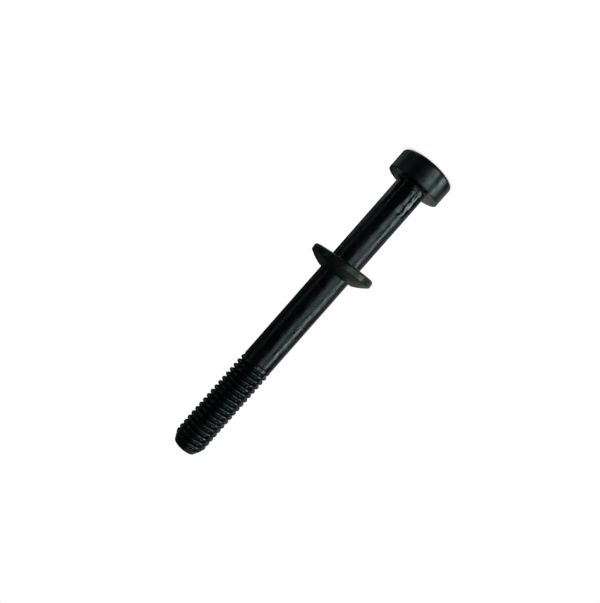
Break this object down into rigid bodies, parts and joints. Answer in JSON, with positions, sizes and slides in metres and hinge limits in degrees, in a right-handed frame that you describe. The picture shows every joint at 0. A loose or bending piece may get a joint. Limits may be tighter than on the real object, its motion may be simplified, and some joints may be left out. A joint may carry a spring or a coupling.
{
  "type": "injector bolt",
  "caption": "Low-headed hold-down bolt with a six-lobed socket, slim plain shank, M6 thread and a domed washer that slides captive on the shank.",
  "frame": {"origin": "centre of the flat top of the head, on which the bolt stands", "axes": "+Z along the bolt from the head to the end of the thread; the washer leans towards the thread on its +X side"},
  "size_m": [0.0119, 0.0118, 0.063],
  "materials": {
    "bolt_black_oxide": "black oxide, lightly oiled",
    "washer_black_oxide": "black oxide, dull"
  },
  "bodies": {
    "bolt": {"bolt": "bolt_black_oxide"},
    "washer": {"captive_washer": "washer_black_oxide"}
  },
  "joints": [
    {"name": "washer_slide", "type": "slide", "parent": "bolt", "child": "washer", "axis": [0, 0, 1], "range_m": [-0.0162, 0.0192]}
  ]
}
